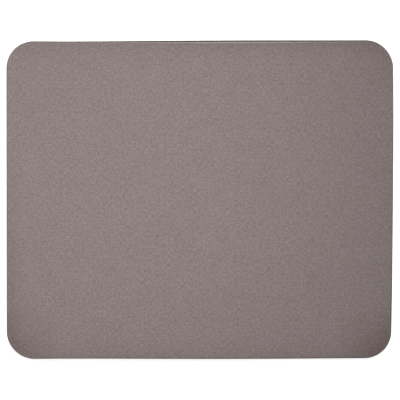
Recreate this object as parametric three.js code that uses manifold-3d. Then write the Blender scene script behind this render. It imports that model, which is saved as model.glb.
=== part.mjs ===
// Desk mouse pad: a cloth running surface bonded to a sponge core on a grooved rubber base, all cut in
// one stroke by a rounded rectangular die. Millimetres, +Z up, origin on the desk under the middle.
import * as THREE from "three";
import { mergeVertices } from "three/addons/utils/BufferGeometryUtils.js";
import Module from "manifold-3d";

// Outline of the die, which the foot of the cut wall follows
const padLength = 230;
const padWidth = 190;
const cornerRadius = 16;
const cornerSteps = 12;

// Layers, from the desk up
const skinThickness = 0.6;
const coreThickness = 3.8;
const filmThickness = 0.1;
const clothThickness = 0.5;

// Cut edge: the die squeezes the foam while it cuts, so the rim stays pressed down and the wall springs back
const rimReach = 1;
const rimDrop = 0.3;
const rimPinch = 0.1;
const rimSteps = 5;
const topSetback = 0.5;
const wallHollow = 0.45;
const wallSteps = 8;
const footBevel = 0.15;

// Wave tread of the base: V grooves that run from end to end
const groovePitch = 7;
const grooveWidth = 1.4;
const grooveDepth = 0.35;
const waveLength = 38;
const waveHeight = 2;
const waveSteps = 8;
const cutOverrun = 2;

// Heights of the bonded faces
const coreTop = skinThickness + coreThickness;
const filmTop = coreTop + filmThickness;
const clothTop = filmTop + clothThickness;

const fullTurn = 2 * Math.PI;
const cornerSigns = [[1, 1], [-1, 1], [-1, -1], [1, -1]];
const finishes = {
  cloth: { color: "#8f8180", roughness: 0.92, metalness: 0 },
  film: { color: "#d9d4c6", roughness: 0.5, metalness: 0 },
  sponge: { color: "#26262a", roughness: 0.95, metalness: 0 },
  rubber: { color: "#1f1f22", roughness: 0.8, metalness: 0 },
};

const wasm = await Module();
wasm.setup();

// The die outline drawn in by an inset, at one height
function outlineRing([inset, height]) {
  const ring = [];
  cornerSigns.forEach(([signX, signY], corner) => {
    for (let step = 0; step <= cornerSteps; step++) {
      const angle = ((corner + step / cornerSteps) * fullTurn) / cornerSigns.length;
      const x = signX * (padLength / 2 - cornerRadius) + (cornerRadius - inset) * Math.cos(angle);
      const y = signY * (padWidth / 2 - cornerRadius) + (cornerRadius - inset) * Math.sin(angle);
      ring.push(new THREE.Vector3(x, y, height));
    }
  });
  return ring;
}

// Triangles between two rings of a section. Bonded layers meet with their shared faces split alike.
function strip(from, to, runsOut) {
  return from.flatMap((point, i) => {
    const next = (i + 1) % from.length;
    if (runsOut) return [point, from[next], to[i], from[next], to[next], to[i]];
    return [point, from[next], to[next], point, to[next], to[i]];
  });
}

function cap(ring) {
  const faces = THREE.ShapeUtils.triangulateShape(ring.map(({ x, y }) => new THREE.Vector2(x, y)), []);
  return faces.flatMap((face) => face.map((i) => ring[i]));
}

// A sheet whose skin follows a section round the outline: pairs of inset and height, from its underside
// out to the cut and back in to its top face
function sheetGeometry(section) {
  const rings = section.map(outlineRing);
  const points = [...cap(rings[0]).reverse(), ...cap(rings.at(-1))];
  for (let i = 1; i < rings.length; i++) {
    points.push(...strip(rings[i - 1], rings[i], section[i][0] < section[i - 1][0]));
  }
  return new THREE.BufferGeometry().setFromPoints(points);
}

// The pressed-down rim of a face, from the cut in to where the face is flat
function rim(faceHeight, drop) {
  return Array.from({ length: rimSteps + 1 }, (_, step) => {
    const share = step / rimSteps;
    return [topSetback + rimReach * share, faceHeight - drop * (1 - share) ** 2];
  });
}

// The hollow wall of the core, from its foot up to the pressed-down rim
function coreWall() {
  const rise = coreThickness - rimDrop;
  return Array.from({ length: wallSteps }, (_, step) => {
    const share = step / wallSteps;
    const inset = topSetback * share + wallHollow * Math.sin((share * fullTurn) / 2);
    return [inset, skinThickness + rise * share];
  });
}

function clothGeometry() {
  return sheetGeometry([...rim(filmTop, rimDrop).reverse(), ...rim(clothTop, rimDrop + rimPinch)]);
}

function filmGeometry() {
  return sheetGeometry([...rim(coreTop, rimDrop).reverse(), ...rim(filmTop, rimDrop)]);
}

function coreGeometry() {
  return sheetGeometry([...coreWall(), ...rim(coreTop, rimDrop)]);
}

// A closed mesh as a solid that can be cut, and back again
function solidOf(geometry) {
  geometry.deleteAttribute("normal");
  geometry.deleteAttribute("uv");
  const merged = mergeVertices(geometry);
  const vertProperties = merged.attributes.position.array;
  const triVerts = new Uint32Array(merged.index.array);
  return new wasm.Manifold(new wasm.Mesh({ numProp: 3, vertProperties, triVerts }));
}

function geometryOf(solid) {
  const { vertProperties, triVerts } = solid.getMesh();
  return new THREE.BufferGeometry()
    .setAttribute("position", new THREE.BufferAttribute(vertProperties, 3))
    .setIndex(new THREE.BufferAttribute(triVerts, 1));
}

// One groove's line along the pad, past both ends
class WaveLine extends THREE.Curve {
  constructor(offset) {
    super();
    this.offset = offset;
  }

  getPoint(share, target = new THREE.Vector3()) {
    const x = (share - 0.5) * (padLength + 2 * cutOverrun);
    return target.set(x, this.offset + waveHeight * Math.sin((x / waveLength) * fullTurn), 0);
  }
}

// The V cutter, in depth and half width: above the mouth its sides stand square, past the underside
function grooveSection() {
  const half = grooveWidth / 2;
  const corners = [[-grooveDepth, 0], [0, -half], [cutOverrun, -half], [cutOverrun, half], [0, half]];
  return new THREE.Shape(corners.map(([x, y]) => new THREE.Vector2(x, y)));
}

function grooveSolid(offset) {
  const steps = Math.round(((padLength + 2 * cutOverrun) / waveLength) * waveSteps);
  const options = { steps, bevelEnabled: false, extrudePath: new WaveLine(offset) };
  return solidOf(new THREE.ExtrudeGeometry(grooveSection(), options));
}

// Grooves lie in pairs either side of the middle, so that the middle is on a land
function grooveOffsets() {
  const reach = padWidth / 2 - waveHeight - grooveWidth / 2;
  const pairs = Math.floor(reach / groovePitch + 1 / 2);
  return Array.from({ length: 2 * pairs }, (_, i) => (i - pairs + 1 / 2) * groovePitch);
}

function skinGeometry() {
  const sheet = sheetGeometry([[footBevel, 0], [0, footBevel], [0, skinThickness]]);
  return geometryOf(wasm.Manifold.difference([solidOf(sheet), ...grooveOffsets().map(grooveSolid)]));
}

function layer(name, geometry, finish) {
  const mesh = new THREE.Mesh(geometry, new THREE.MeshStandardMaterial(finish));
  mesh.name = name;
  return mesh;
}

const pad = new THREE.Group();
pad.add(
  layer("cloth_top", clothGeometry(), finishes.cloth),
  layer("bond_film", filmGeometry(), finishes.film),
  layer("foam_core", coreGeometry(), finishes.sponge),
  layer("grip_skin", skinGeometry(), finishes.rubber),
);

export default pad;
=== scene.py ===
import math

import bpy
import numpy as np
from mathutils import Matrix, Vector


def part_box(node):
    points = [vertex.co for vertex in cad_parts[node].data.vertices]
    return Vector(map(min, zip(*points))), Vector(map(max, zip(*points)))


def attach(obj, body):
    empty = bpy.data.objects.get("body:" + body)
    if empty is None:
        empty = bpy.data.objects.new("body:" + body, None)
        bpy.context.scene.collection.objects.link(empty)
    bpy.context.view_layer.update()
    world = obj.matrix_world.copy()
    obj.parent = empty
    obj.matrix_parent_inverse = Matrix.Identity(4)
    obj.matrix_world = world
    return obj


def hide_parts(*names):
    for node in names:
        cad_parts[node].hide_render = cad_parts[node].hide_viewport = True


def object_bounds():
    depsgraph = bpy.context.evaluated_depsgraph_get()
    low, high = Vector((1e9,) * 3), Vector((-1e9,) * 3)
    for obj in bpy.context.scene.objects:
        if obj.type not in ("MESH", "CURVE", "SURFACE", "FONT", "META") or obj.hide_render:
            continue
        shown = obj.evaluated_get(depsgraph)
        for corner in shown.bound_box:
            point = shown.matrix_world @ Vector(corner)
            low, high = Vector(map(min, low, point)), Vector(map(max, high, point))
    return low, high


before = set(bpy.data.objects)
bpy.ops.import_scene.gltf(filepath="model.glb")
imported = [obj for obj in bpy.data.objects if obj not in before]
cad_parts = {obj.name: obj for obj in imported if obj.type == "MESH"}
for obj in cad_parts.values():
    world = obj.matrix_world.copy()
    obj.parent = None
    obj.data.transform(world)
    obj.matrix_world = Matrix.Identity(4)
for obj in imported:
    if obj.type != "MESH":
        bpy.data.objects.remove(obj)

# A cloth mouse pad on a white table, seen from straight above. Four layers are bonded face to face and
# cut through in one stroke of a rounded rectangular die. Metres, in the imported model's frame.

mm = 0.001                               # lengths below are in metres, written as so many mm
fullTurn = 2 * math.pi
cadLow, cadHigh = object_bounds()

pad = {
    "halfLength": cadHigh.x,
    "halfWidth": cadHigh.y,
    "cornerRadius": 16 * mm,
    "skinTop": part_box("grip_skin")[1].z,
    "coreTop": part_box("foam_core")[1].z,
    "filmTop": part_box("bond_film")[1].z,
    "clothTop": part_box("cloth_top")[1].z,
    "topSetback": cadHigh.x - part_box("cloth_top")[1].x,  # how far the cloth's cut lies behind the foot
    "rimDrop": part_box("foam_core")[1].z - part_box("bond_film")[0].z,  # how far the die pressed the rim down
    "rimReach": 1 * mm,                  # and over what width
    "rimSteps": 5,                       # in so many rows of points
    "rimPinch": 0.1 * mm,                # how much thinner the cloth is left at its cut
    "wallHollow": 0.45 * mm,             # the sponge springs back hollow between foot and cloth
    "footBevel": 0.15 * mm,
}
halves = np.array([pad["halfLength"], pad["halfWidth"]])
straight = halves - pad["cornerRadius"]  # half of each side's straight run, so the corners' centres
cornerCentre = (*straight.tolist(), 1.0)  # above any height, so that heights drop out
print("frame read, the pad is", [round(v / mm, 2) for v in cadHigh - cadLow], "mm")


# An sRGB colour as the linear one that a socket takes
def toLinear(hexColour):
    channels = [int(hexColour[i:i + 2], 16) / 255 for i in (1, 3, 5)]
    linear = [c / 12.92 if c <= 0.04045 else ((c + 0.055) / 1.055) ** 2.4 for c in channels]
    return (*linear, 1)


# Adds a node. A socket takes a number, or is linked to another node or to one of its outputs.
def addNode(tree, kind, sockets=None, **settings):
    node = tree.nodes.new(kind)
    for name, value in settings.items():
        setattr(node, name, value)
    for key, value in (sockets or {}).items():
        named = [s for s in node.inputs if s.enabled and s.name == key]
        socket = named[0] if named else node.inputs[key]
        if isinstance(value, bpy.types.Node):
            value = next(s for s in value.outputs if s.enabled)
        if isinstance(value, bpy.types.NodeSocket):
            tree.links.new(value, socket)
        else:
            socket.default_value = value
    return node


# The camera hangs straight over the pad, far enough up that the foot shows beyond the cloth
view = {
    "height": 2.4,
    "span": 238.1 * mm,                  # width of table that the picture takes in
    "aim": (0.08 * mm, -0.18 * mm),
    "turn": 0.057,                       # degrees
    "sensor": 36,                        # millimetres
}


def makeCamera():
    camera = bpy.data.objects.new("camera", bpy.data.cameras.new("camera"))
    bpy.context.scene.collection.objects.link(camera)
    camera.data.sensor_width = view["sensor"]
    camera.data.lens = view["sensor"] * view["height"] / view["span"]
    camera.location = (*view["aim"], view["height"])
    camera.rotation_euler = (0, 0, math.radians(view["turn"]))
    camera.data.clip_start = 0.01
    camera.data.clip_end = 100
    bpy.context.scene.camera = camera


makeCamera()
print("camera placed")


# What the real pad's sides have that a straight cut hasn't, at five places along each, from -Y to +Y or
# from -X to +X, and the shade that is painted along them. The cut bows out, and leans in, so that the cloth
# lies further back, in millimetres. The painted shade is how much darker the cloth there is painted, towards
# its side, and ooze is how far the film has come up through it, just inside the cut.
sides = {
    "east": {
        "axis": 0,
        "sign": 1,
        "bow": (-1.5, -0.5, -0.1, 0.1, -0.5),
        "lean": (0.1, 0.05, 0, -0.2, -0.3),
        "paintedShade": (0.1, 0.05, 0, 0, 0),
        "ooze": (0, 0, 0, 0, 0),
    },
    "north": {
        "axis": 1,
        "sign": 1,
        "bow": (-0.5, -0.75, -0.25, -0.06, 0.12),
        "lean": (0, 0.2, 0.45, 0.42, 0.3),
        "paintedShade": (0.3, 0.2, 0.27, 0.27, 0.27),
        "ooze": (0, 0, 0.55, 0.45, 0.1),
    },
    "west": {
        "axis": 0,
        "sign": -1,
        "bow": (-0.3, 0, 0.1, 0.2, 0.2),
        "lean": (-0.3, -0.25, -0.2, -0.2, -0.2),
        "paintedShade": (0.3, 0.27, 0.1, 0, 0),
        "ooze": (0, 0, 0, 0, 0),
    },
    "south": {
        "axis": 1,
        "sign": -1,
        "bow": (0.1, -0.3, -0.2, -0.45, -0.9),
        "lean": (-0.2, -0.2, -0.2, -0.1, 0),
        "paintedShade": (0.2, 0.18, 0.16, 0.18, 0.2),
        "ooze": (0, 0, 0, 0, 0),
    },
}
# and how far its corners are drawn in, in millimetres, or stand out where that is below 0, and how much
# darker the cloth is painted in each, as painted shade
corners = {
    "northEast": {"signs": (1, 1), "trim": 0.14, "paintedShade": 0.15},
    "northWest": {"signs": (-1, 1), "trim": 0.15, "paintedShade": 0},
    "southWest": {"signs": (-1, -1), "trim": 0.4, "paintedShade": 0.45},
    "southEast": {"signs": (1, -1), "trim": -0.1, "paintedShade": 0.7},
}


# One of those values at each point, on a smooth curve through the five places
def valueAlong(side, label, points):
    along = 1 - side["axis"]
    curve = np.polyfit(np.linspace(-1, 1, len(side[label])), side[label], len(side[label]) - 1)
    return np.polyval(curve, np.clip(points[:, along] / halves[along], -1, 1))


# Bends the corners of a square grid round, so that its border follows the outline at an inset
def roundCorners(x, y, inset):
    centreX, centreY = straight
    radius = pad["cornerRadius"] - inset
    u = np.clip(np.abs(x) - centreX, 0, None) / radius
    v = np.clip(np.abs(y) - centreY, 0, None) / radius
    roundX = np.minimum(np.abs(x), centreX) + radius * u * np.sqrt(1 - v ** 2 / 2)
    roundY = np.minimum(np.abs(y), centreY) + radius * v * np.sqrt(1 - u ** 2 / 2)
    return np.sign(x) * roundX, np.sign(y) * roundY


# The grid's points, their numbers row by row, and the numbers round its border, counterclockwise
def outlineGrid(spacing, inset):
    xs, ys = (np.linspace(-reach, reach, round(2 * reach / spacing) + 1) for reach in halves - inset)
    x, y = roundCorners(*np.meshgrid(xs, ys), inset)
    numbers = np.arange(x.size).reshape(x.shape)
    border = [numbers[0, :-1], numbers[:-1, -1], numbers[-1, :0:-1], numbers[:0:-1, 0]]
    return np.column_stack([x.ravel(), y.ravel()]), numbers, np.concatenate(border)


# One ring of a layer's skin, over the outline's stations
def ringAt(stations, inset, height, leanShare):
    spine = np.clip(stations, -straight, straight)
    outward = stations - spine
    outward /= np.linalg.norm(outward, axis=1, keepdims=True)
    reach = np.full(len(stations), pad["cornerRadius"] - inset)
    for side in sides.values():
        facing = np.clip(side["sign"] * outward[:, side["axis"]], 0, None) ** 2
        reach -= facing * leanShare * valueAlong(side, "lean", stations) * mm
    return np.column_stack([spine + outward * reach[:, None], np.full(len(reach), height)])


# Bends a regular piece to the real pad's sides and corners
def bowOutline(points):
    moved = points.copy()
    for side in sides.values():
        across = side["axis"]
        facing = np.clip(side["sign"] * points[:, across] / halves[across], 0, 1) ** 2
        moved[:, across] += side["sign"] * facing * valueAlong(side, "bow", points) * mm
    away = points[:, :2] - np.clip(points[:, :2], -straight, straight)
    for corner in corners.values():
        x, y = np.clip(away * corner["signs"] / pad["cornerRadius"], 0, None).T
        pull = np.column_stack([x, y]) * (2 * x * y)[:, None]
        moved[:, :2] -= corner["trim"] * mm * pull * corner["signs"]
    return moved


# Rows of a layer's skin: inset, height, share of the lean, share of cut edge, share of open face
def rimRows(faceHeight, drop, steps=pad["rimSteps"]):
    rows = []
    for share in np.linspace(0, 1, steps + 1):
        height = faceHeight - drop * (1 - share) ** 2
        rows.append((pad["topSetback"] + pad["rimReach"] * share, height, 1 - share, 0, share))
    return rows


# The cut wall's rows, whose share of cut edge fades out towards its foot and the cloth
def wallRows(steps, fade):
    rise = pad["coreTop"] - pad["rimDrop"] - pad["skinTop"]
    rows = []
    for share in np.linspace(0, 1, steps + 1):
        inset = pad["topSetback"] * share + pad["wallHollow"] * math.sin(math.pi * share)
        cutShare = min(1, share / fade, (1 - share) / fade)
        rows.append((inset, pad["skinTop"] + rise * share, share, cutShare, 0))
    return rows


# A closed layer from its rows, which run from the middle of its top out over the rim and back under
def makeLayer(name, rows, spacing, gridTop=False):
    flat, numbers, border = outlineGrid(spacing, rows[0][0])
    stations = flat[border]
    count = len(stations)
    if gridTop:
        points = [np.column_stack([flat, np.full(len(flat), rows[0][1])])]
        quads = np.stack([numbers[:-1, :-1], numbers[:-1, 1:], numbers[1:, 1:], numbers[1:, :-1]], -1)
        faces = quads.reshape(-1, 4).tolist()
        rings = [border]
    else:
        points = [ringAt(stations, *rows[0][:3])]
        rings = [np.arange(count)]
        faces = [rings[0].tolist()]
    for row in rows[1:]:
        rings.append(sum(len(p) for p in points) + np.arange(count))
        points.append(ringAt(stations, *row[:3]))
    for inner, outer in zip(rings, rings[1:]):
        faces += np.stack([inner, outer, np.roll(outer, -1), np.roll(inner, -1)], -1).tolist()
    faces.append(rings[-1][::-1].tolist())
    piece = makePiece(name, np.concatenate(points), faces=faces)
    shares = [np.tile(row[3:], (len(ring), 1)) for ring, row in zip(points, rows)]
    cutShares, faceShares = np.concatenate(shares).T
    addShares(piece, {"cutShare": cutShares, "faceShare": faceShares})
    return piece


# Marks each point with numbers that shapes and materials read by name
def addShares(piece, shares):
    for label, values in shares.items():
        layer = piece.data.attributes.new(label, "FLOAT", "POINT")
        layer.data.foreach_set("value", values.astype(np.float32))


def meshPoints(piece):
    points = np.empty(3 * len(piece.data.vertices), np.float32)
    piece.data.vertices.foreach_get("co", points)
    return points.reshape(-1, 3)


def makePiece(name, points, edges=(), faces=()):
    mesh = bpy.data.meshes.new(name)
    mesh.from_pydata(points.tolist(), list(edges), list(faces))
    mesh.update()
    piece = bpy.data.objects.new(name, mesh)
    bpy.context.scene.collection.objects.link(piece)
    return piece


# A node tree for shapes, with a named input for each size
def shapeTree(name, sizes):
    tree = bpy.data.node_groups.new(name, "GeometryNodeTree")
    tree.interface.new_socket("Geometry", in_out="INPUT", socket_type="NodeSocketGeometry")
    for label, value in sizes.items():
        kind = {int: "Int", float: "Float", tuple: "Vector"}[type(value)]
        tree.interface.new_socket(label, in_out="INPUT", socket_type="NodeSocket" + kind)
    tree.interface.new_socket("Geometry", in_out="OUTPUT", socket_type="NodeSocketGeometry")
    return tree, addNode(tree, "NodeGroupInput").outputs


def endTree(tree, shape, material):
    whole = addNode(tree, "GeometryNodeRealizeInstances", {"Geometry": shape})
    painted = addNode(tree, "GeometryNodeSetMaterial", {"Geometry": whole, "Material": material})
    addNode(tree, "NodeGroupOutput", {"Geometry": painted})


# The level direction outwards at each point, away from the rectangle of corner centres
def outwardIn(tree, corner):
    place = addNode(tree, "GeometryNodeInputPosition")
    capped = addNode(tree, "ShaderNodeVectorMath", {0: place, 1: corner}, operation="MINIMUM")
    opposite = addNode(tree, "ShaderNodeVectorMath", {0: corner, "Scale": -1}, operation="SCALE")
    spine = addNode(tree, "ShaderNodeVectorMath", {0: capped, 1: opposite}, operation="MAXIMUM")
    away = addNode(tree, "ShaderNodeVectorMath", {0: place, 1: spine}, operation="SUBTRACT")
    return place, addNode(tree, "ShaderNodeVectorMath", {0: away}, operation="NORMALIZE")


# Runs a tree on a piece and keeps the result as its plain mesh
def shapePiece(piece, tree, sizes):
    modifier = piece.modifiers.new(tree.name, "NODES")
    modifier.node_group = tree
    for socket in tree.interface.items_tree:
        if socket.in_out == "INPUT" and socket.name in sizes:
            modifier[socket.identifier] = sizes[socket.name]
    evaluated = piece.evaluated_get(bpy.context.evaluated_depsgraph_get())
    shaped = bpy.data.meshes.new_from_object(evaluated)
    piece.modifiers.clear()
    piece.data = shaped


# The last steps, which all pieces share
def finishPiece(piece, smoothTo, slot, *nodes):
    piece.data.vertices.foreach_set("co", bowOutline(meshPoints(piece)).ravel())
    piece.data.shade_smooth()
    piece.data.set_sharp_from_angle(angle=math.radians(smoothTo))
    piece.data.update()
    if nodes:
        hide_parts(*nodes)
    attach(piece, "root")
    print(piece.name, "made,", len(piece.data.polygons), "faces")


# A material whose patterns are laid out in the pad's own metres
def startMaterial(name):
    material = bpy.data.materials.new(name)
    material.use_nodes = True
    tree = material.node_tree
    tree.nodes.clear()
    return material, tree, addNode(tree, "ShaderNodeTexCoord").outputs["Object"]


def endMaterial(tree, sockets):
    surface = addNode(tree, "ShaderNodeBsdfPrincipled", sockets)
    addNode(tree, "ShaderNodeOutputMaterial", {"Surface": surface})


# Cloth: knitted polyester, dyed and heat-set, which gives a matt face with a faint sheen. Its loops are
# about 0.4 mm, too fine to show, so wales and courses are drawn two to three times as wide, and the thick
# and thin places of the yarn as streaks of about 2 mm.
cloth = {
    "wale": 1.1 * mm,
    "course": 0.8 * mm,
    "furrowWidth": 0.15,                 # between two wales, as a share of one
    "furrowDepth": 1.2,                  # against the height of a loop
    "wander": 7 * mm,                    # size of the bends in the courses
    "wanderBy": 1.2 * mm,                # and how far they reach
    "slubLength": 2.2 * mm,              # of a thick place in the yarn
    "slubWidth": 0.6 * mm,
    "fleck": 0.75 * mm,
    "cloud": 8 * mm,
    "loopShare": 0.22,                   # what loops and clouds add to the grain of the yarn
    "cloudShare": 0.25,
    "dark": "#776867",
    "light": "#a79897",
    "shadeRange": (1.11, 2.05),          # sums of these patterns that come out dark and light
    "tone": "#8e807f",
    "grey": "#8b8381",
    "hueShare": 0.35,                    # how much of those two tones is in the colour
    "hueSpot": 14 * mm,
    "hueDrift": 2.2,                     # towards grey, per metre to the right
    "hueRange": (0.5, 0.64),             # of spots and drift, from tone to grey
    "grainRange": (1.1, 1.9),            # thin yarn, and thick
    "roughness": (0.94, 0.86),           # and theirs
    "loopRelief": 0.4,                   # against that of the grain
    "paintedShadeTone": "#b4a0a0",                   # what the painted shade lets through, towards the sides and corners
    "sideReach": 16 * mm,
    "cornerReach": 32 * mm,
    "wetted": "#f5fff6",                 # and the film, where it has melted up into the loops at the cut
    "wetReach": 3 * mm,
    "wetCover": 0.45,                    # how much of the painted shade it takes away there
    "ooze": "#d9d4c6",                   # film that has come right through
    "oozeDepth": 0.3 * mm,
    "oozeReach": 0.3 * mm,
    "creaseDepth": 0.6 * mm,             # behind the ooze, a line of painted shade, as in a crease
    "creaseReach": 0.4 * mm,
    "creaseShade": 1.1,
    "spacing": 0.8 * mm,                 # of the mesh's points
    "faceSteps": 10,                     # rows over the pressed rim
    "cutSteps": (0.25, 0.5, 0.75),       # and rows on the cut, as shares of the way down
    "cutBulge": 0.05 * mm,
    "smoothTo": 50,                      # degrees, past which an edge stays sharp
    "relief": {
        "Ripple size": 3.2 * mm,
        "Ripple height": 0.05 * mm,
        "Swell size": 16 * mm,
        "Swell height": 0.08 * mm,
        "Fray size": 1.3 * mm,
        "Fray height": 0.08 * mm,
        "Corner centre": cornerCentre,
        "Seed": 3.0,
    },
}


def knitMaterial():
    material, tree, place = startMaterial("knittedPolyester")

    # courses wander a little, because the cloth was pulled when it was bonded
    drift = addNode(tree, "ShaderNodeTexNoise", {"Vector": place, "Scale": 1 / cloth["wander"], "Detail": 2})
    middled = addNode(tree, "ShaderNodeVectorMath", {0: drift.outputs["Color"], 1: (0.5, 0.5, 0.5)},
                      operation="SUBTRACT")
    shift = addNode(tree, "ShaderNodeVectorMath", {0: middled, "Scale": cloth["wanderBy"]}, operation="SCALE")
    bent = addNode(tree, "ShaderNodeVectorMath", {0: place, 1: shift}, operation="ADD")
    axes = addNode(tree, "ShaderNodeSeparateXYZ", {0: bent})

    # columns of V loops, with a furrow between two columns
    wales = addNode(tree, "ShaderNodeMath", {0: axes.outputs["X"], 1: 1 / cloth["wale"]},
                    operation="MULTIPLY")
    zigzag = addNode(tree, "ShaderNodeMath", {0: wales, 1: 0.5}, operation="PINGPONG")
    courses = addNode(tree, "ShaderNodeMath", {0: axes.outputs["Y"], 1: 1 / cloth["course"], 2: zigzag},
                      operation="MULTIPLY_ADD")
    phase = addNode(tree, "ShaderNodeMath", {0: courses, 1: fullTurn}, operation="MULTIPLY")
    legs = addNode(tree, "ShaderNodeMath", {0: phase}, operation="SINE")
    furrow = addNode(tree, "ShaderNodeMapRange", {
        "Value": zigzag,
        "From Max": cloth["furrowWidth"],
        "To Min": -cloth["furrowDepth"],
        "To Max": 0,
    }, interpolation_type="SMOOTHSTEP")
    loops = addNode(tree, "ShaderNodeMath", {0: legs, 1: furrow}, operation="ADD")

    # thick and thin yarn, along the courses and along the wales
    grain = addNode(tree, "ShaderNodeTexNoise", {"Vector": place, "Scale": 1 / cloth["fleck"], "Detail": 1})
    length, width = cloth["slubLength"], cloth["slubWidth"]
    for across, up in ((length, width), (width, length)):
        finer = (1 / across, 1 / up, 1 / mm)
        stretch = addNode(tree, "ShaderNodeMapping", {"Vector": place, "Scale": finer})
        slub = addNode(tree, "ShaderNodeTexNoise", {"Vector": stretch, "Scale": 1, "Detail": 1})
        grain = addNode(tree, "ShaderNodeMath", {0: grain, 1: slub}, operation="ADD")
    knit = addNode(tree, "ShaderNodeMath", {0: loops, 1: cloth["loopShare"], 2: grain},
                   operation="MULTIPLY_ADD")
    cloud = addNode(tree, "ShaderNodeTexNoise", {"Vector": place, "Scale": 1 / cloth["cloud"], "Detail": 2})
    clouded = addNode(tree, "ShaderNodeMath", {0: cloud, 1: cloth["cloudShare"], 2: knit},
                      operation="MULTIPLY_ADD")
    low, high = cloth["shadeRange"]
    spread = addNode(tree, "ShaderNodeMapRange", {"Value": clouded, "From Min": low, "From Max": high})
    shade = addNode(tree, "ShaderNodeMix", {
        "Factor": spread,
        "A": toLinear(cloth["dark"]),
        "B": toLinear(cloth["light"]),
    }, data_type="RGBA")

    # the dye took unevenly, as pinkish taupe in spots and a greyer tone in others, most of it on the right
    patch = addNode(tree, "ShaderNodeTexNoise", {"Vector": place, "Scale": 1 / cloth["hueSpot"], "Detail": 2})
    uneven = addNode(tree, "ShaderNodeMath", {0: axes.outputs["X"], 1: cloth["hueDrift"], 2: patch},
                     operation="MULTIPLY_ADD")
    low, high = cloth["hueRange"]
    greyness = addNode(tree, "ShaderNodeMapRange", {"Value": uneven, "From Min": low, "From Max": high})
    hue = addNode(tree, "ShaderNodeMix", {
        "Factor": greyness,
        "A": toLinear(cloth["tone"]),
        "B": toLinear(cloth["grey"]),
    }, data_type="RGBA")
    colour = addNode(tree, "ShaderNodeMix", {"Factor": cloth["hueShare"], "A": shade, "B": hue},
                     data_type="RGBA")

    # painted shade and melted film tint it, and film that has come right through covers it
    coats = (
        ("paintedShade", cloth["paintedShadeTone"], "MULTIPLY"),
        ("wet", cloth["wetted"], "MULTIPLY"),
        ("ooze", cloth["ooze"], "MIX"),
    )
    for label, tint, blend in coats:
        share = addNode(tree, "ShaderNodeAttribute", attribute_name=label).outputs["Fac"]
        colour = addNode(tree, "ShaderNodeMix", {"Factor": share, "A": colour, "B": toLinear(tint)},
                         data_type="RGBA", blend_type=blend)

    # thin yarn is rougher, and loops and thick yarn stand up
    thin, thick = cloth["grainRange"]
    rough = addNode(tree, "ShaderNodeMapRange", {
        "Value": grain,
        "From Min": thin,
        "From Max": thick,
        "To Min": cloth["roughness"][0],
        "To Max": cloth["roughness"][1],
    })
    relief = addNode(tree, "ShaderNodeMath", {0: loops, 1: cloth["loopRelief"], 2: grain},
                     operation="MULTIPLY_ADD")
    bump = addNode(tree, "ShaderNodeBump", {"Height": relief, "Strength": 0.5, "Distance": 0.05 * mm})
    endMaterial(tree, {
        "Base Color": colour,
        "Roughness": rough,
        "Normal": bump,
        "IOR": 1.5,
        "Specular IOR Level": 0.2,
        "Sheen Weight": 0.12,
        "Sheen Roughness": 0.5,
    })
    return material


# The bonded face ripples a little over the sponge's cells, and its cut edge is uneven
def clothTree(material):
    tree, given = shapeTree("clothRelief", cloth["relief"])
    place, outward = outwardIn(tree, given["Corner centre"])
    faceShare = addNode(tree, "GeometryNodeInputNamedAttribute", {"Name": "faceShare"})
    cutShare = addNode(tree, "GeometryNodeInputNamedAttribute", {"Name": "cutShare"})
    heights = []
    for label, share in (("Ripple", faceShare), ("Swell", faceShare), ("Fray", cutShare)):
        finer = addNode(tree, "ShaderNodeMath", {0: 1, 1: given[label + " size"]}, operation="DIVIDE")
        noise = addNode(tree, "ShaderNodeTexNoise", {
            "Vector": place,
            "W": given["Seed"],
            "Scale": finer,
            "Detail": 2,
        }, noise_dimensions="4D")
        middled = addNode(tree, "ShaderNodeMath", {0: noise, 1: 0.5}, operation="SUBTRACT")
        sized = addNode(tree, "ShaderNodeMath", {0: middled, 1: given[label + " height"]},
                        operation="MULTIPLY")
        heights.append(addNode(tree, "ShaderNodeMath", {0: sized, 1: share}, operation="MULTIPLY"))
    rise = addNode(tree, "ShaderNodeMath", {0: heights[0], 1: heights[1]}, operation="ADD")
    upward = addNode(tree, "ShaderNodeCombineXYZ", {"Z": rise})
    fray = addNode(tree, "ShaderNodeVectorMath", {0: outward, "Scale": heights[2]}, operation="SCALE")
    offset = addNode(tree, "ShaderNodeVectorMath", {0: upward, 1: fray}, operation="ADD")
    moved = addNode(tree, "GeometryNodeSetPosition", {"Geometry": given["Geometry"], "Offset": offset})
    endTree(tree, moved, material)
    return tree


# The cloth is painted darker towards its sides and corners, as painted shade, and is greyer right along the
# cut. Where most film came up there is a pale line, with a line of painted shade behind it.
def markBorder(piece):
    points = meshPoints(piece)[:, :2]
    paintedShade, ooze = np.zeros((2, len(points)))
    for side in sides.values():
        depth = (halves - side["sign"] * points)[:, side["axis"]]
        # painted shade, darker towards each side
        paintedShade += valueAlong(side, "paintedShade", points) * np.clip(1 - depth / cloth["sideReach"], 0, 1) ** 2
        behind = depth - pad["topSetback"] - valueAlong(side, "lean", points) * mm - cloth["oozeDepth"]
        melted = valueAlong(side, "ooze", points)
        ooze += melted * np.clip(1 - np.abs(behind) / cloth["oozeReach"], 0, 1)
        # a line of painted shade behind the ooze, as in a crease
        crease = np.clip(1 - np.abs(behind - cloth["creaseDepth"]) / cloth["creaseReach"], 0, 1)
        paintedShade += cloth["creaseShade"] * np.clip(melted, 0, 1) * crease
    # painted shade, darker towards each corner
    for corner in corners.values():
        depths = halves - points * corner["signs"]
        paintedShade += corner["paintedShade"] * np.clip(1 - depths / cloth["cornerReach"], 0, 1).prod(axis=1)
    away = points - np.clip(points, -straight, straight)
    wet = np.clip(1 - (pad["cornerRadius"] - np.linalg.norm(away, axis=1)) / cloth["wetReach"], 0, 1)
    # the painted shade is lessened right along the cut
    paintedShade *= 1 - cloth["wetCover"] * wet
    addShares(piece, {"paintedShade": paintedShade, "wet": wet, "ooze": np.clip(ooze, 0, 1)})


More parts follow.
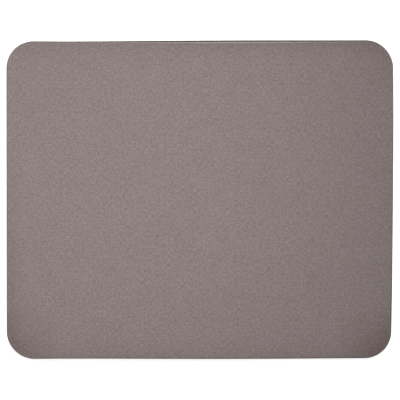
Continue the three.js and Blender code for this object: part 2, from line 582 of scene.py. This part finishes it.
def makeCloth(material):
    underside = rimRows(pad["filmTop"], pad["rimDrop"])
    face = rimRows(pad["clothTop"], pad["rimDrop"] + pad["rimPinch"], cloth["faceSteps"])
    low, high = underside[0][1], face[0][1]
    cutRows = []
    for share in cloth["cutSteps"]:
        inset = pad["topSetback"] - cloth["cutBulge"] * math.sin(math.pi * share)
        cutRows.append((inset, high + (low - high) * share, 1, 1, 0))
    hidden = [(*row[:3], 0, 0) for row in underside]
    piece = makeLayer("knitCloth", face[::-1] + cutRows + hidden, cloth["spacing"], gridTop=True)
    shapePiece(piece, clothTree(material), cloth["relief"])
    markBorder(piece)
    finishPiece(piece, cloth["smoothTo"], "cloth", "cloth_top")
    return piece


knitted = knitMaterial()
knitCloth = makeCloth(knitted)


# Cut yarn ends, which stand out of the cloth's cut all the way round
fringe = {
    "lineSpacing": 1 * mm,               # of the line along the cut that they stand on
    "inside": 0.1 * mm,                  # how far that line is behind the cut
    "arch": (0.6, 0, 0.12),              # where an end bends over, in lengths of it
    "taper": 0.35,                       # radius left at its tip
    "smoothTo": 60,
    "ends": {
        "Spacing": 0.45 * mm,
        "Shortest": 0.35,
        "Yarn length": 0.38 * mm,
        "Yarn radius": 0.035 * mm,
        "Spread": 0.5,                   # radians that one may turn aside
        "Corner centre": cornerCentre,
        "Seed": 5,
    },
}


def fringeTree(material):
    tree, given = shapeTree("yarnEnds", fringe["ends"])
    outward = outwardIn(tree, given["Corner centre"])[1]
    line = addNode(tree, "GeometryNodeMeshToCurve", {"Mesh": given["Geometry"]})
    stations = addNode(tree, "GeometryNodeResampleCurve", {"Curve": line, "Length": given["Spacing"]},
                       mode="LENGTH")

    # one yarn end: a short tapered tube that bends over a little
    tip = addNode(tree, "ShaderNodeCombineXYZ", {"X": given["Yarn length"]})
    bend = addNode(tree, "ShaderNodeVectorMath", {0: tip, 1: fringe["arch"]}, operation="MULTIPLY")
    yarn = addNode(tree, "GeometryNodeCurveQuadraticBezier", {
        "Resolution": 3,
        "Start": (0, 0, 0),
        "Middle": bend,
        "End": tip,
    })
    along = addNode(tree, "GeometryNodeSplineParameter")
    taper = addNode(tree, "ShaderNodeMapRange", {"Value": along, "To Min": 1, "To Max": fringe["taper"]})
    ring = addNode(tree, "GeometryNodeCurvePrimitiveCircle", {
        "Resolution": 4,
        "Radius": given["Yarn radius"],
    })
    tube = addNode(tree, "GeometryNodeCurveToMesh", {
        "Curve": yarn,
        "Profile Curve": ring,
        "Scale": taper,
        "Fill Caps": True,
    })

    # and its copies, each turned and sized at random
    aim = addNode(tree, "FunctionNodeAlignRotationToVector", {"Vector": outward}, axis="X")
    narrow = addNode(tree, "ShaderNodeMath", {0: given["Spread"], 1: -1}, operation="MULTIPLY")
    least = addNode(tree, "ShaderNodeCombineXYZ", {"Y": narrow, "Z": narrow})
    most = addNode(tree, "ShaderNodeCombineXYZ", {"Y": given["Spread"], "Z": given["Spread"]})
    swing = addNode(tree, "FunctionNodeRandomValue", {"Min": least, "Max": most, "Seed": given["Seed"]},
                    data_type="FLOAT_VECTOR")
    turned = addNode(tree, "FunctionNodeRotateRotation", {"Rotation": aim, "Rotate By": swing},
                     rotation_space="LOCAL")
    size = addNode(tree, "FunctionNodeRandomValue", {
        "Min": given["Shortest"],
        "Max": 1.0,
        "Seed": given["Seed"],
    })
    ends = addNode(tree, "GeometryNodeInstanceOnPoints", {
        "Points": stations,
        "Instance": tube,
        "Rotation": turned,
        "Scale": size,
    })
    endTree(tree, ends, material)
    return tree


def makeFringe(material):
    height = (pad["filmTop"] + pad["clothTop"] - 2 * pad["rimDrop"] - pad["rimPinch"]) / 2
    flat, _, border = outlineGrid(fringe["lineSpacing"], pad["topSetback"])
    ring = ringAt(flat[border], pad["topSetback"] + fringe["inside"], height, 1)
    numbers = np.arange(len(ring))
    edges = np.stack([numbers, np.roll(numbers, -1)], -1).tolist()
    piece = makePiece("yarnEnds", ring, edges=edges)
    shapePiece(piece, fringeTree(material), fringe["ends"])
    markBorder(piece)
    finishPiece(piece, fringe["smoothTo"], "cloth")
    return piece


yarnEnds = makeFringe(knitted)


# Film: hot-melt film, melted between cloth and sponge as they were rolled together, which leaves it milky
# and satin. It is seen as a pale hairline in the cut.
film = {
    "tone": "#d9d4c6",
    "stain": "#b7b0a2",
    "cloud": 2 * mm,
    "roughness": (0.4, 0.6),             # where clear, and where stained
    "spacing": 1.2 * mm,
    "smoothTo": 40,
}


def filmMaterial():
    material, tree, place = startMaterial("hotMeltFilm")
    cloud = addNode(tree, "ShaderNodeTexNoise", {"Vector": place, "Scale": 1 / film["cloud"], "Detail": 3})
    colour = addNode(tree, "ShaderNodeMix", {
        "Factor": cloud,
        "A": toLinear(film["tone"]),
        "B": toLinear(film["stain"]),
    }, data_type="RGBA")
    least, most = film["roughness"]
    rough = addNode(tree, "ShaderNodeMapRange", {"Value": cloud, "To Min": least, "To Max": most})
    endMaterial(tree, {"Base Color": colour, "Roughness": rough, "IOR": 1.49})
    return material


def makeFilm():
    face = rimRows(pad["filmTop"], pad["rimDrop"])
    underside = rimRows(pad["coreTop"], pad["rimDrop"])
    piece = makeLayer("bondFilmSheet", face[::-1] + underside, film["spacing"])
    piece.data.materials.append(filmMaterial())
    finishPiece(piece, film["smoothTo"], "film", "bond_film")
    return piece


bondFilm = makeFilm()


# Core: black sponge rubber, sliced through its closed cells, so dull and pitted. Cells of about 0.3 mm are
# too fine to show, so they are drawn at 0.4 mm, and larger ones of 0.8 mm are sunk into the mesh.
core = {
    "tone": "#252427",
    "cell": "#0f0e10",
    "fineCell": 0.4 * mm,
    "cellSpread": 0.4,                   # how much they differ in size
    "cellEdge": (0.15, 0.28),            # where the hole ends and the wall between two begins
    "roughness": (0.98, 0.85),           # in a hole, and on a wall
    "spacing": 0.24 * mm,
    "rows": 15,                          # up the cut
    "poreFade": 0.25,                    # of the wall's height, at its foot and at its top
    "smoothTo": 60,
    "pores": {
        "Cell size": 0.8 * mm,
        "Pore depth": 0.3 * mm,
        "Pore share": 0.55,
        "Corner centre": cornerCentre,
        "Seed": 11.0,
    },
}


def spongeMaterial():
    material, tree, place = startMaterial("spongeRubber")
    cells = addNode(tree, "ShaderNodeTexVoronoi", {"Vector": place, "Scale": 1 / core["fineCell"]})
    sized = addNode(tree, "ShaderNodeMath", {0: cells.outputs["Color"], 1: -core["cellSpread"], 2: cells},
                    operation="MULTIPLY_ADD")
    hole, full = core["cellEdge"]
    wall = addNode(tree, "ShaderNodeMapRange", {"Value": sized, "From Min": hole, "From Max": full},
                   interpolation_type="SMOOTHSTEP")
    colour = addNode(tree, "ShaderNodeMix", {
        "Factor": wall,
        "A": toLinear(core["cell"]),
        "B": toLinear(core["tone"]),
    }, data_type="RGBA")
    bump = addNode(tree, "ShaderNodeBump", {"Height": wall, "Strength": 0.8, "Distance": 0.1 * mm})
    most, least = core["roughness"]
    rough = addNode(tree, "ShaderNodeMapRange", {"Value": wall, "To Min": most, "To Max": least})
    endMaterial(tree, {
        "Base Color": colour,
        "Roughness": rough,
        "Normal": bump,
        "IOR": 1.52,
        "Specular IOR Level": 0.15,
    })
    return material


# Open cells, sunk into the cut wall
def poreTree(material):
    tree, given = shapeTree("cutSponge", core["pores"])
    place, outward = outwardIn(tree, given["Corner centre"])
    cutShare = addNode(tree, "GeometryNodeInputNamedAttribute", {"Name": "cutShare"})
    finer = addNode(tree, "ShaderNodeMath", {0: 1, 1: given["Cell size"]}, operation="DIVIDE")
    cells = addNode(tree, "ShaderNodeTexVoronoi", {"Vector": place, "W": given["Seed"], "Scale": finer},
                    voronoi_dimensions="4D")
    pore = addNode(tree, "ShaderNodeMapRange", {
        "Value": cells,
        "From Max": given["Pore share"],
        "To Min": -1,
        "To Max": 0,
    }, interpolation_type="SMOOTHSTEP")
    deep = addNode(tree, "ShaderNodeMath", {0: pore, 1: given["Pore depth"]}, operation="MULTIPLY")
    inward = addNode(tree, "ShaderNodeMath", {0: deep, 1: cutShare}, operation="MULTIPLY")
    offset = addNode(tree, "ShaderNodeVectorMath", {0: outward, "Scale": inward}, operation="SCALE")
    moved = addNode(tree, "GeometryNodeSetPosition", {"Geometry": given["Geometry"], "Offset": offset})
    endTree(tree, moved, material)
    return tree


def makeCore():
    face = rimRows(pad["coreTop"], pad["rimDrop"])
    wall = wallRows(core["rows"], core["poreFade"])
    piece = makeLayer("spongeCore", face[::-1] + wall[-2::-1], core["spacing"])
    shapePiece(piece, poreTree(spongeMaterial()), core["pores"])
    finishPiece(piece, core["smoothTo"], "sponge", "foam_core")
    return piece


spongeCore = makeCore()


# Base: dense rubber sheet, cured against a pebbled plate with a wave tread, so dull all over. The table
# has rubbed it paler in places, and dust has settled in the grooves.
skin = {
    "tone": "#151517",
    "worn": "#39393c",
    "wear": 12 * mm,
    "wearRange": (0.4, 0.95),            # as new, and worn right down
    "roughness": (0.85, 0.65),           # likewise
    "pebble": 0.8 * mm,
    "pebbleEdge": 0.7,                   # how far a pebble reaches from its middle, as a share of its size
    "pebbleShare": 0.25,                 # how much more the tops of the pebbles have worn
    "dust": "#5d5955",
    "dustClump": 3 * mm,
    "dustRange": (0.35, 0.7),            # bare, and thick with it
    "spacing": 1.0 * mm,
    "bevelRows": 5,
    "smoothTo": 20,
    "tread": {
        "Groove pitch": 7 * mm,
        "Groove count": 26,
        "Half width": 0.7 * mm,
        "Root width": 0.2 * mm,
        "Root radius": 0.12 * mm,
        "Depth": 0.35 * mm,
        "Wave length": 38 * mm,
        "Wave height": 2 * mm,
        "Run": 234 * mm,                 # past both ends of the pad
        "Step": 1.2 * mm,
    },
}


def rubberMaterial():
    material, tree, place = startMaterial("mouldedRubber")
    wear = addNode(tree, "ShaderNodeTexNoise", {"Vector": place, "Scale": 1 / skin["wear"], "Detail": 5})
    cells = addNode(tree, "ShaderNodeTexVoronoi", {"Vector": place, "Scale": 1 / skin["pebble"]})
    pebble = addNode(tree, "ShaderNodeMapRange", {
        "Value": cells,
        "From Max": skin["pebbleEdge"],
        "To Min": 1,
        "To Max": 0,
    }, interpolation_type="SMOOTHSTEP")
    uneven = addNode(tree, "ShaderNodeMath", {0: pebble, 1: skin["pebbleShare"], 2: wear},
                     operation="MULTIPLY_ADD")
    low, high = skin["wearRange"]
    worn = addNode(tree, "ShaderNodeMapRange", {"Value": uneven, "From Min": low, "From Max": high})
    colour = addNode(tree, "ShaderNodeMix", {
        "Factor": worn,
        "A": toLinear(skin["tone"]),
        "B": toLinear(skin["worn"]),
    }, data_type="RGBA")

    # dust in the grooves
    sunk = addNode(tree, "ShaderNodeAttribute", attribute_name="sunk").outputs["Fac"]
    clump = addNode(tree, "ShaderNodeTexNoise", {
        "Vector": place,
        "Scale": 1 / skin["dustClump"],
        "Detail": 4,
    })
    bare, thick = skin["dustRange"]
    settled = addNode(tree, "ShaderNodeMapRange", {
        "Value": clump,
        "From Min": bare,
        "From Max": thick,
        "To Max": sunk,
    })
    colour = addNode(tree, "ShaderNodeMix", {"Factor": settled, "A": colour, "B": toLinear(skin["dust"])},
                     data_type="RGBA")

    bump = addNode(tree, "ShaderNodeBump", {"Height": pebble, "Strength": 0.6, "Distance": 0.1 * mm})
    most, least = skin["roughness"]
    rough = addNode(tree, "ShaderNodeMapRange", {"Value": worn, "To Min": most, "To Max": least})
    endMaterial(tree, {
        "Base Color": colour,
        "Roughness": rough,
        "Normal": bump,
        "IOR": 1.52,
        "Specular IOR Level": 0.3,
    })
    return material


# Wave grooves, cut into the sheet's underside
def treadTree(material):
    tree, given = shapeTree("waveTread", skin["tread"])

    # one wave line
    start = addNode(tree, "ShaderNodeMath", {0: given["Run"], 1: -0.5}, operation="MULTIPLY")
    end = addNode(tree, "ShaderNodeMath", {0: given["Run"], 1: 0.5}, operation="MULTIPLY")
    startPoint = addNode(tree, "ShaderNodeCombineXYZ", {"X": start})
    endPoint = addNode(tree, "ShaderNodeCombineXYZ", {"X": end})
    line = addNode(tree, "GeometryNodeCurvePrimitiveLine", {"Start": startPoint, "End": endPoint})
    stations = addNode(tree, "GeometryNodeResampleCurve", {"Curve": line, "Length": given["Step"]},
                       mode="LENGTH")
    axes = addNode(tree, "ShaderNodeSeparateXYZ", {0: addNode(tree, "GeometryNodeInputPosition")})
    waves = addNode(tree, "ShaderNodeMath", {0: axes.outputs["X"], 1: given["Wave length"]},
                    operation="DIVIDE")
    phase = addNode(tree, "ShaderNodeMath", {0: waves, 1: fullTurn}, operation="MULTIPLY")
    swing = addNode(tree, "ShaderNodeMath", {0: phase}, operation="SINE")
    aside = addNode(tree, "ShaderNodeMath", {0: swing, 1: given["Wave height"]}, operation="MULTIPLY")
    offset = addNode(tree, "ShaderNodeCombineXYZ", {"Y": aside})
    wave = addNode(tree, "GeometryNodeSetPosition", {"Geometry": stations, "Offset": offset})

    # a V spread by the width of its rounded root, twice as tall as the groove is deep, because half of it
    # is outside the sheet
    mouth = addNode(tree, "ShaderNodeMath", {0: given["Half width"], 1: 4, 2: given["Root width"]},
                    operation="MULTIPLY_ADD")
    tall = addNode(tree, "ShaderNodeMath", {0: given["Depth"], 1: 2}, operation="MULTIPLY")
    section = addNode(tree, "GeometryNodeCurvePrimitiveQuadrilateral", {
        "Bottom Width": mouth,
        "Top Width": given["Root width"],
        "Offset": 0,
        "Height": tall,
    }, mode="TRAPEZOID")
    rounded = addNode(tree, "GeometryNodeFilletCurve", {
        "Curve": section,
        "Count": 3,
        "Radius": given["Root radius"],
        "Limit Radius": True,
    }, mode="POLY")
    cutter = addNode(tree, "GeometryNodeCurveToMesh", {
        "Curve": wave,
        "Profile Curve": rounded,
        "Fill Caps": True,
    })

    # and its copies side by side, in pairs about the middle
    last = addNode(tree, "ShaderNodeMath", {0: given["Groove count"], 1: -1}, operation="ADD")
    reach = addNode(tree, "ShaderNodeMath", {0: last, 1: given["Groove pitch"]}, operation="MULTIPLY")
    first = addNode(tree, "ShaderNodeMath", {0: reach, 1: -0.5}, operation="MULTIPLY")
    firstPoint = addNode(tree, "ShaderNodeCombineXYZ", {"Y": first})
    step = addNode(tree, "ShaderNodeCombineXYZ", {"Y": given["Groove pitch"]})
    places = addNode(tree, "GeometryNodeMeshLine", {
        "Count": given["Groove count"],
        "Start Location": firstPoint,
        "Offset": step,
    })
    copies = addNode(tree, "GeometryNodeInstanceOnPoints", {"Points": places, "Instance": cutter})
    cutters = addNode(tree, "GeometryNodeRealizeInstances", {"Geometry": copies})
    grooved = addNode(tree, "GeometryNodeMeshBoolean", {"Mesh 1": given["Geometry"], "Mesh 2": cutters},
                      operation="DIFFERENCE", solver="MANIFOLD")
    endTree(tree, grooved, material)
    return tree


# How deep in a groove each point is, for its dust; the outer wall isn't in one
def markGrooves(piece):
    points = meshPoints(piece)
    away = points[:, :2] - np.clip(points[:, :2], -straight, straight)
    inside = np.linalg.norm(away, axis=1) < pad["cornerRadius"] - 2 * pad["footBevel"]
    addShares(piece, {"sunk": np.clip(points[:, 2] / skin["tread"]["Depth"], 0, 1) * inside})


def makeSkin():
    bevel = pad["footBevel"]
    rows = [(0, pad["skinTop"], 0, 0, 0)]
    for turn in np.linspace(0, math.pi / 2, skin["bevelRows"]):
        rows.append((bevel * (1 - math.cos(turn)), bevel * (1 - math.sin(turn)), 0, 0, 0))
    piece = makeLayer("treadSkin", rows, skin["spacing"])
    shapePiece(piece, treadTree(rubberMaterial()), skin["tread"])
    markGrooves(piece)
    finishPiece(piece, skin["smoothTo"], "rubber", "grip_skin")


makeSkin()


# Table: a board with sprayed white paint, so matt and even. A soft box with a grid hangs over the pad, a
# little behind and to the left, and the rest of the light comes from all round.
stage = {
    "floorTone": "#f9f9f8",
    "floorSize": 8,                      # metres
    "floorGlow": 0.74,                   # seen, but lighting nothing, so the table comes out white
    "lampPlace": (-0.05, 0.29, 0.63),
    "lampAim": (-0.058, 0.034, 0),
    "lampSize": 0.394,
    "lampSpread": 33,                    # degrees that the grid lets through
    "lampPower": 0.359,                  # watts
    "around": 0.30,
}


# 1 where the camera looks, also by way of gloss or glass, and 0 for light on its way to the pad
def whiteWhenSeen(tree):
    path = addNode(tree, "ShaderNodeLightPath").outputs
    either = addNode(tree, "ShaderNodeMath", {0: path["Is Camera Ray"], 1: path["Is Glossy Ray"]},
                     operation="ADD")
    return addNode(tree, "ShaderNodeMath", {0: either, 1: path["Is Transmission Ray"]}, operation="ADD",
                   use_clamp=True)


def makeFloor():
    half = stage["floorSize"] / 2
    square = np.array([[-half, -half, 0], [half, -half, 0], [half, half, 0], [-half, half, 0]])
    floor = makePiece("floor", square, faces=[(0, 1, 2, 3)])
    material, tree, _ = startMaterial("paintedTable")
    diffuse = addNode(tree, "ShaderNodeBsdfDiffuse", {"Color": toLinear(stage["floorTone"])})
    seen = whiteWhenSeen(tree)
    glow = addNode(tree, "ShaderNodeMath", {0: seen, 1: stage["floorGlow"]}, operation="MULTIPLY")
    emission = addNode(tree, "ShaderNodeEmission", {"Strength": glow})
    both = addNode(tree, "ShaderNodeAddShader", {0: diffuse, 1: emission})
    addNode(tree, "ShaderNodeOutputMaterial", {"Surface": both})
    floor.data.materials.append(material)


def makeLight():
    world = bpy.data.worlds.new("studio")
    bpy.context.scene.world = world
    world.use_nodes = True
    tree = world.node_tree
    tree.nodes.clear()
    seen = whiteWhenSeen(tree)
    strength = addNode(tree, "ShaderNodeMapRange", {"Value": seen, "To Min": stage["around"], "To Max": 1})
    background = addNode(tree, "ShaderNodeBackground", {"Color": (1, 1, 1, 1), "Strength": strength})
    addNode(tree, "ShaderNodeOutputWorld", {"Surface": background})

    lamp = bpy.data.objects.new("lamp", bpy.data.lights.new("lamp", "AREA"))
    bpy.context.scene.collection.objects.link(lamp)
    lamp.data.size = stage["lampSize"]
    lamp.data.spread = math.radians(stage["lampSpread"])
    lamp.data.energy = stage["lampPower"]
    lamp.visible_camera = False
    lamp.location = stage["lampPlace"]
    aim = lamp.location - Vector(stage["lampAim"])
    lamp.rotation_euler = aim.to_track_quat("Z", "Y").to_euler()


makeFloor()
makeLight()
bpy.context.scene.view_settings.view_transform = "Standard"
print("floor and light placed")
